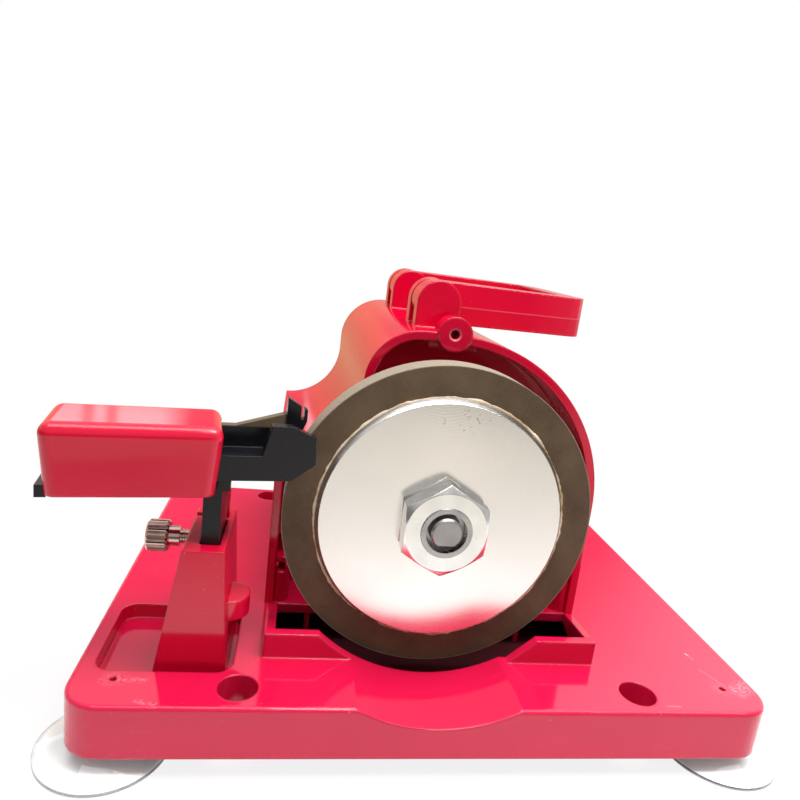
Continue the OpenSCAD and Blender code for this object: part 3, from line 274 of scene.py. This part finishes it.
def guard_hole_wear(g):
    """Pale burr round the screw hole in the boss on top of the cowl."""
    away = g.distance(GUARD_HOLE, AROUND_Y)
    inner = g.span(away, 0.0, 1.0, GUARD_HOLE_R, GUARD_HOLE_R + 0.2 * MM)
    outer = g.span(away, 0.75, 0.0, GUARD_HOLE_R + 0.5 * MM, GUARD_HOLE_R + 0.8 * MM)
    return g.maths("MULTIPLY", inner, outer)


def box_scratch(g):
    """Short pale scratch on the front of the sliding box."""
    return g.span(g.segment(*BOX_SCRATCH), 0.8, 0.0, 0.6 * MM, 1.1 * MM)


def above_seam(g):
    """Height above the line where the halves of the handle's mould met; the line climbs with the deck."""
    depth, height = HANDLE_SEAM
    climb = g.maths("MULTIPLY", g.maths("SUBTRACT", g.axis(g.coords(), "Y"), depth), HANDLE_CLIMB)
    return g.chain("SUBTRACT", g.axis(g.coords(), "Z"), climb, height)


def handle_seam_ridge_and_highlight(g):
    """Thin witness line along the handle, raised as a ridge and also a little paler than the faces: a
    painted highlight along it.
    """
    return g.span(g.maths("ABSOLUTE", above_seam(g)), 0.35, 0.0, 0.08 * MM, 0.3 * MM)


def handle_draft(g):
    """Both halves of the handle draw in away from the seam, so that they leave the mould."""
    upper = g.maths("MULTIPLY", above_seam(g), DRAFT_ABOVE)
    lower = g.maths("MULTIPLY", above_seam(g), -DRAFT_BELOW)
    return g.maths("MULTIPLY", g.maths("MAXIMUM", upper, lower), -1.0)


def plastic(name, dark, light, rough=(0.16, 0.26), bevel=0.7 * MM, specular=0.5):
    g = material_graph(name)
    color = g.mix(g.span(g.noise(30.0, 3.0), 0.0, 1.0), dark, light)
    grain = g.noise(900.0, 2.0)
    g.surface(color, g.span(g.noise(60.0), *rough), g.normal(bevel, grain, 0.03),
              Specular_IOR_Level=specular)
    return g.owner


def metal(name, dark, light, rough=(0.22, 0.34), bevel=0.3 * MM, scale=200.0, strength=0.04):
    g = material_graph(name)
    cloud = g.noise(scale, 4.0)
    color = g.mix(g.span(cloud, 0.0, 1.0), dark, light)
    g.surface(color, g.span(g.noise(scale * 2.0), *rough), g.normal(bevel, cloud, strength), Metallic=1.0)
    return g.owner


def turned_aluminium():
    """Disc faced on a lathe: fine rings, a soft radial sheen, and nicks near the edge and at the top."""
    g = material_graph("turned_aluminium")
    rings = g.add("ShaderNodeTexWave", wave_type="RINGS", rings_direction="Y")
    rings.inputs["Scale"].default_value = 700.0
    rings.inputs["Distortion"].default_value = 3.0
    rings.inputs["Detail Scale"].default_value = 0.4
    g.join(g.vector("SUBTRACT", g.coords(), WHEEL_AXIS), rings.inputs["Vector"])
    cloud = g.noise(35.0, 4.0)
    color = g.mix(g.span(cloud, 0.0, 1.0), (0.79, 0.775, 0.745), (0.88, 0.865, 0.83))
    away = g.distance(WHEEL_AXIS, AROUND_Y)
    edge = g.span(away, 0.0, 1.0, DISC_R - 9.0 * MM, DISC_R - 5.0 * MM)
    nicks = g.maths("MULTIPLY", edge, g.span(g.noise(520.0, 2.0), 0.0, 0.8, 0.73, 0.78))
    knocked = g.span(g.distance(DISC_KNOCK, AROUND_Y), 1.0, 0.0, 4.0 * MM, 8.0 * MM)
    dents = g.maths("MULTIPLY", knocked, g.span(g.noise(800.0, 1.0), 0.0, 0.4, 0.65, 0.72))
    nicks = g.maths("MAXIMUM", nicks, dents)
    tool_marks = g.maths("MULTIPLY", rings.outputs["Fac"], g.span(g.noise(70.0, 3.0), 0.0, 0.32))
    color = g.mix(tool_marks, color, (0.62, 0.60, 0.56))
    color = g.mix(nicks, color, (0.16, 0.15, 0.14))
    shader = g.surface(color, g.span(cloud, 0.20, 0.28), g.normal(0.3 * MM, rings.outputs["Fac"], 0.03),
                       Metallic=1.0, Anisotropic=0.6)
    tangent = g.add("ShaderNodeTangent", direction_type="RADIAL", axis="Y")
    g.join(tangent.outputs[0], shader.inputs["Tangent"])
    return g.owner


def resin_abrasive():
    """Bonded band: patchy brown face with pale grit, a dressed rim, and glue stains along the disc."""
    g = material_graph("resin_abrasive")
    grit = g.noise(2600.0, 2.0, 0.6)
    patches = g.span(g.noise(75.0, 6.0, 0.65), 0.0, 1.0)
    body = g.mix(patches, (0.070, 0.044, 0.024), (0.120, 0.080, 0.045))
    away = g.distance(WHEEL_AXIS, AROUND_Y)
    stain = g.maths("MULTIPLY", g.span(away, 1.0, 0.0, DISC_R + 0.2 * MM, DISC_R + 2.0 * MM),
                    g.span(g.noise(60.0, 4.0, 0.6), 0.0, 0.9, 0.52, 0.66))
    body = g.mix(stain, body, (0.21, 0.105, 0.035))
    body = g.mix(g.span(grit, 0.0, 0.30, 0.60, 0.75), body, (0.24, 0.19, 0.15))
    rim = g.span(away, 0.0, 1.0, WHEEL_R - 0.35 * MM, WHEEL_R - 0.1 * MM)
    dressed = g.mix(g.span(grit, 0.0, 1.0, 0.35, 0.65), (0.21, 0.175, 0.130), (0.32, 0.275, 0.205))
    color = g.mix(rim, body, dressed)
    g.surface(color, 0.62, g.normal(0.4 * MM, grit, 0.25, 0.00015), Specular_IOR_Level=0.3)
    return g.owner


def clear_vinyl():
    """Soft clear cups; the grey band on the thick lip is painted shade, for how the lip looks from the
    side.
    """
    g = material_graph("clear_vinyl")
    cloud = g.noise(60.0, 2.0)
    color = g.mix(g.span(cloud, 0.0, 1.0), (0.93, 0.94, 0.94), (0.98, 0.99, 0.99))
    away = g.distance(CUP_PLACE, AROUND_Z, folded=True)
    lip_painted_shade = g.span(away, 0.0, 1.0, CUP_R - 0.25 * MM, CUP_R - 0.05 * MM)
    # Painted shade: a grey band along the cup's lip.
    color = g.mix(lip_painted_shade, color, (0.28, 0.29, 0.34))
    g.surface(color, g.span(cloud, 0.02, 0.07), g.normal(0.0, cloud, 0.06, 0.0005),
              Transmission_Weight=1.0, IOR=1.42)
    return g.owner


def black_with_olive_patch():
    """Black moulded arm with an olive-brown patch on the wedge between the box and the rear jaw."""
    g = material_graph("black_arm")
    color = g.mix(g.span(g.noise(30.0, 3.0), 0.0, 1.0), (0.005, 0.005, 0.007), (0.009, 0.009, 0.011))
    turn = math.radians(ARM_YAW)
    offset = g.vector("SUBTRACT", g.coords(), ARM_ORIGIN)
    along = g.vector("DOT_PRODUCT", offset, (math.cos(turn), math.sin(turn), 0.0))
    across = g.vector("DOT_PRODUCT", offset, (-math.sin(turn), math.cos(turn), 0.0))
    cover = g.span(g.noise(90.0, 4.0, 0.6), 0.65, 1.0)
    cover = g.chain("MULTIPLY", cover,
                    g.span(g.axis(g.coords(), "Z"), 0.0, 1.0, ARM_TOP - 9.7 * MM, ARM_TOP - 9.2 * MM),
                    g.span(along, 1.0, 0.0, 18.8 * MM, 19.8 * MM),
                    g.span(across, 0.0, 1.0, 1.0 * MM, 2.0 * MM))
    color = g.mix(cover, color, (0.150, 0.112, 0.064))
    rough = g.maths("ADD", g.span(g.noise(60.0), 0.20, 0.32), g.maths("MULTIPLY", cover, 0.35))
    g.surface(color, rough, g.normal(0.4 * MM, g.noise(900.0, 2.0), 0.05), Specular_IOR_Level=0.3)
    return g.owner


def set_resin():
    """Ochre resin that squeezed out between the disc and the band."""
    g = material_graph("resin_bead")
    cloud = g.noise(150.0, 3.0)
    color = g.mix(g.span(cloud, 0.0, 1.0), (0.38, 0.26, 0.14), (0.74, 0.64, 0.50))
    g.surface(color, g.span(cloud, 0.28, 0.45), g.normal(0.0, g.noise(900.0, 3.0), 0.2))
    return g.owner


red = red_plastic("red_plastic")
red_base = red_plastic("red_plastic_base", wear_and_highlight=base_scuffs, shades=(BASE_DEEP_PAINTED_SHEEN, BASE_BRIGHT_PAINTED_SHEEN))
red_cowl = red_plastic("red_plastic_cowl", wear_and_highlight=guard_hole_wear)
red_handle = red_plastic("red_plastic_handle", handle_seam_ridge_and_highlight, handle_seam_ridge_and_highlight, handle_draft)
red_box = red_plastic("red_plastic_box", wear_and_highlight=box_scratch)
black = plastic("black_plastic", (0.008, 0.008, 0.008), (0.013, 0.013, 0.013), (0.20, 0.32), 0.4 * MM, 0.4)
black_arm = black_with_olive_patch()
dark = plastic("dark_plastic", (0.035, 0.035, 0.037), (0.055, 0.055, 0.058), (0.45, 0.6))
# Bottom cover in dark maroon: painted shade, red plastic darkened as it looks in the shaded well under the
# wheel.
painted_shade_maroon = plastic("painted_shade_cover", (0.060, 0.008, 0.012), (0.080, 0.011, 0.017), (0.5, 0.65), 0.7 * MM, 0.2)
pale = plastic("pale_plastic", (0.62, 0.58, 0.48), (0.70, 0.66, 0.56), (0.4, 0.55))
zinc = metal("zinc_steel", (0.74, 0.74, 0.72), (0.86, 0.86, 0.84), (0.18, 0.28))
steel = metal("bearing_steel", (0.28, 0.275, 0.27), (0.37, 0.365, 0.36), (0.28, 0.42))
arbor = metal("arbor_steel", (0.34, 0.33, 0.33), (0.46, 0.45, 0.44), (0.20, 0.32))
iron = metal("rotor_iron", (0.20, 0.18, 0.17), (0.30, 0.27, 0.25), (0.4, 0.55))
ferrite = plastic("ferrite", (0.045, 0.045, 0.05), (0.07, 0.07, 0.075), (0.6, 0.75))
carbon = plastic("carbon", (0.02, 0.02, 0.02), (0.04, 0.04, 0.04), (0.5, 0.65))
copper = metal("copper", (0.58, 0.27, 0.14), (0.70, 0.36, 0.20))
nickel = metal("nickel_brass", (0.46, 0.35, 0.30), (0.62, 0.50, 0.44), (0.12, 0.2), 0.2 * MM)
aluminium = turned_aluminium()
abrasive = resin_abrasive()
vinyl = clear_vinyl()
resin = set_resin()

LOOKS = {
    red: ["rear_cover", "tool_post"],
    red_box: ["slide_box"],
    red_base: ["base_tray"],
    red_cowl: ["motor_housing"],
    red_handle: ["handle"],
    black: ["switch_body", "switch_rocker", "power_inlet"],
    black_arm: ["tool_arm"],
    painted_shade_maroon: ["bottom_cover"],
    dark: ["cooling_fan"],
    pale: ["motor_end_cap"],
    zinc: ["bottom_cover_screws", "housing_screws", "rear_cover_screws", "motor_can", "motor_screws",
           "wheel_nut", "handle_pins", "post_screws"],
    steel: ["front_bearing", "rear_bearing", "motor_shaft"],
    arbor: ["wheel_arbor", "arbor_set_screw"],
    iron: ["rotor_core"],
    ferrite: ["motor_magnets"],
    carbon: ["carbon_brushes"],
    copper: ["commutator"],
    nickel: ["thumb_screw"],
    aluminium: ["wheel_disc"],
    abrasive: ["abrasive_ring"],
    vinyl: ["suction_cups"],
}
for look, names in LOOKS.items():
    for name in names:
        data = nodes[name].data
        data.materials.clear()
        data.materials.append(look)

# Light passes the clear cups, so the floor under them is lit.
nodes["suction_cups"].visible_shadow = False


# Small pieces that ride on the CAD bodies

def add_mesh(name, verts, faces, look, body):
    mesh = bpy.data.meshes.new(name)
    mesh.from_pydata(verts, [], faces)
    mesh.materials.append(look)
    for face in mesh.polygons:
        face.use_smooth = True
    made = bpy.data.objects.new(name, mesh)
    scene.collection.objects.link(made)
    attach(made, body)


def resin_bead():
    """Uneven fillet of resin in the corner between the disc's edge and the band's face."""
    turns, across = 360, 6
    verts, faces = [], []
    for i in range(turns):
        angle = 2.0 * math.pi * i / turns
        out = Vector((math.cos(angle), 0.0, math.sin(angle)))
        lump = noise.noise(out * 3.1) + 0.6 * noise.noise(out * 9.0) + 0.35 * noise.noise(out * 31.0)
        size = max(0.12, 0.42 + 0.55 * lump) * MM
        for j in range(across):
            lean = 0.5 * math.pi * j / (across - 1)
            reach = DISC_R - 0.05 * MM + size * 1.25 * math.sin(lean)
            depth = ring_low.y + 0.02 * MM - 0.8 * size * math.cos(lean)
            spot = Vector(WHEEL_AXIS) + out * reach
            verts.append((spot.x, depth, spot.z))
    for i in range(turns):
        here, there = i * across, (i + 1) % turns * across
        for j in range(across - 1):
            faces.append((here + j, there + j, there + j + 1, here + j + 1))
    add_mesh("resin_bead", verts, faces, resin, "wheel")


def thumb_thread():
    """Thread on the bare stem between the thumb screw's shoulder and the post."""
    pitch, turns, steps = 0.7 * MM, 4, 32
    core, crest = 1.95 * MM, 2.3 * MM
    start = thumb_low.x + 9.9 * MM
    centre = ((thumb_low.y + thumb_high.y) / 2, (thumb_low.z + thumb_high.z) / 2)
    verts, faces = [], []
    for i in range(turns * steps + 1):
        angle = 2.0 * math.pi * i / steps
        for shift, radius in ((0.0, core), (0.25, crest), (0.4, crest), (0.65, core)):
            verts.append((start + pitch * (i / steps + shift), centre[0] + radius * math.cos(angle),
                          centre[1] + radius * math.sin(angle)))
    for i in range(turns * steps):
        for j in range(3):
            faces.append((4 * i + j, 4 * i + 4 + j, 4 * i + 5 + j, 4 * i + 1 + j))
    add_mesh("thumb_thread", verts, faces, nickel, "arm_clamp")


resin_bead()
thumb_thread()

# Camera

def place_camera():
    """Camera matched to the photograph: place in metres, angles in degrees."""
    eye = Vector((-0.050196, -0.240598, 0.146685))
    yaw, pitch, roll = (math.radians(a) for a in (9.173, 12.334, 6.881))
    forward = Vector((math.sin(yaw) * math.cos(pitch), math.cos(yaw) * math.cos(pitch), -math.sin(pitch)))
    level = Vector((math.cos(yaw), -math.sin(yaw), 0.0))
    upright = level.cross(forward)
    right = math.cos(roll) * level + math.sin(roll) * upright
    up = -math.sin(roll) * level + math.cos(roll) * upright
    data = bpy.data.cameras.new("camera")
    data.sensor_width = 36.0
    data.lens = 29.307
    data.clip_start = 0.01
    data.clip_end = 20.0
    made = bpy.data.objects.new("camera", data)
    turn = Matrix((right, up, -forward)).transposed().to_4x4()
    made.matrix_world = Matrix.Translation(eye) @ turn
    scene.collection.objects.link(made)
    scene.camera = made


# Studio: shares of white that rays see, besides the camera's own, and where the base shades the floor

GLOSS_WHITE = 0.10
CLEAR_WHITE = 0.25
SHADE_EDGE_X = (0.097, 0.109)
SHADE_EDGE_Y = (0.074, 0.086)
# Centre of the painted shadow on the floor's paper.
PAINTED_SHADOW_SPOT = (-0.09, -0.24, 0.0)


def light(name, place, size, power):
    """Soft box that shines straight down."""
    data = bpy.data.lights.new(name, "AREA")
    data.shape = "RECTANGLE"
    data.size, data.size_y = size
    data.energy = power
    made = bpy.data.objects.new(name, data)
    made.location = place
    scene.collection.objects.link(made)


def white_floor():
    """Pale sheet, nearly white to the camera, with a faint shadow; its paper carries a painted shadow at
    left front and painted shade towards the front edge, which show mostly in reflections.
    """
    front, back, side = -0.235, 0.36, 0.42
    g = material_graph("floor_white")
    matt = g.add("ShaderNodeBsdfDiffuse")
    # Painted shade: the paper is darker towards the front edge of the sheet.
    near = g.span(g.axis(g.coords(), "Y"), 0.0, 1.0, -0.18, -0.12)
    painted_shade_paper = g.mix(near, (0.58, 0.56, 0.53), (0.80, 0.79, 0.78))
    # Painted shadow: the paper darkens in a round patch at left front.
    shade = g.span(g.distance(PAINTED_SHADOW_SPOT, AROUND_Z), 0.0, 1.0, 0.02, 0.09)
    g.join(g.mix(shade, (0.30, 0.28, 0.27), painted_shade_paper), matt.inputs["Color"])
    path = g.add("ShaderNodeLightPath")
    whiter = g.span(g.distance((0.0, 0.0, 0.0), AROUND_Z), 0.85, 1.0, 0.15, 0.22)
    direct = g.maths("MULTIPLY", path.outputs["Is Camera Ray"], whiter)
    past_side = g.span(g.maths("ABSOLUTE", g.axis(g.coords(), "X")), 0.0, CLEAR_WHITE, *SHADE_EDGE_X)
    past_front = g.span(g.maths("ABSOLUTE", g.axis(g.coords(), "Y")), 0.0, CLEAR_WHITE, *SHADE_EDGE_Y)
    clear_share = g.maths("MAXIMUM", past_side, past_front)
    through = g.maths("MULTIPLY", path.outputs["Is Transmission Ray"], clear_share)
    glossy = g.maths("MULTIPLY", path.outputs["Is Glossy Ray"], GLOSS_WHITE)
    g.blend(g.chain("MAXIMUM", direct, through, glossy), matt, g.add("ShaderNodeEmission"))
    corners = [(-side, front, 0.0), (side, front, 0.0), (side, back, 0.0), (-side, back, 0.0)]
    mesh = bpy.data.meshes.new("floor")
    mesh.from_pydata(corners, [], [(0, 1, 2, 3)])
    mesh.materials.append(g.owner)
    floor = bpy.data.objects.new("floor", mesh)
    scene.collection.objects.link(floor)


def back_of_room(g, side, rise):
    """Warm low wall on the left, a barred window above, and a bright ceiling, lower on the right."""
    low = g.mix(g.span(side, 0.0, 1.0, -0.05, 0.35), (0.84, 0.39, 0.18), (0.57, 0.49, 0.44))
    wall = g.mix(g.span(rise, 0.0, 1.0, 0.18, 0.26), low, (0.20, 0.195, 0.195))
    wall = g.mix(g.span(rise, 0.0, 1.0, 0.48, 0.60), wall, (1.2, 1.2, 1.26))
    right = g.span(g.maths("ADD", side, rise), 0.0, 1.0, 0.82, 1.06)
    wall = g.mix(right, wall, (2.0, 1.98, 2.0))
    window = g.chain("MULTIPLY", g.span(side, 1.0, 0.0, -0.19, -0.15),
                     g.span(rise, 0.0, 1.0, 0.23, 0.255), g.span(rise, 1.0, 0.0, 0.31, 0.37))
    for bar in (-0.283, -0.254):
        from_bar = g.maths("ABSOLUTE", g.maths("SUBTRACT", side, bar))
        window = g.maths("MULTIPLY", window, g.span(from_bar, 0.3, 1.0, 0.004, 0.010))
    return g.mix(window, wall, (2.1, 2.08, 2.05))


def front_of_room(g, side, rise):
    """Pale floor, a dark far side that opens on the right, and a plain wall above."""
    near = g.mix(g.span(side, 0.0, 1.0, 0.55, 0.80), (1.08, 1.00, 0.89), (0.20, 0.19, 0.18))
    far = g.mix(g.span(side, 0.0, 1.0, 0.40, 0.48), (0.0, 0.0, 0.0), (0.50, 0.48, 0.46))
    wall = g.mix(g.span(rise, 0.0, 1.0, -0.22, -0.17), near, far)
    return g.mix(g.span(rise, 0.0, 1.0, 0.10, 0.28), wall, (0.52, 0.50, 0.50))


def white_world():
    """White to the camera and through clear parts, a studio room to the rest; gloss shows some white."""
    g = Graph(bpy.data.worlds.new("studio"), "ShaderNodeOutputWorld")
    toward = g.add("ShaderNodeTexCoord").outputs["Generated"]
    side, depth, rise = (g.axis(toward, name) for name in "XYZ")
    room_color = g.mix(g.span(depth, 0.0, 1.0, -0.1, 0.2), front_of_room(g, side, rise),
                       back_of_room(g, side, rise))
    room = g.add("ShaderNodeBackground")
    g.join(room_color, room.inputs["Color"])
    white = g.add("ShaderNodeBackground")
    white.inputs["Color"].default_value = (1.0, 1.0, 1.0, 1.0)
    path = g.add("ShaderNodeLightPath")
    glossy = g.maths("MULTIPLY", path.outputs["Is Glossy Ray"], GLOSS_WHITE)
    direct, through = path.outputs["Is Camera Ray"], path.outputs["Is Transmission Ray"]
    g.blend(g.chain("MAXIMUM", direct, through, glossy), room, white)
    scene.world = g.owner


place_camera()
white_floor()
white_world()
light("overhead", (0.20, -0.12, 1.15), (1.5, 0.45), 11.5)
light("near_top", (0.03, -0.13, 0.36), (0.16, 0.12), 0.70)
scene.view_settings.view_transform = "Standard"
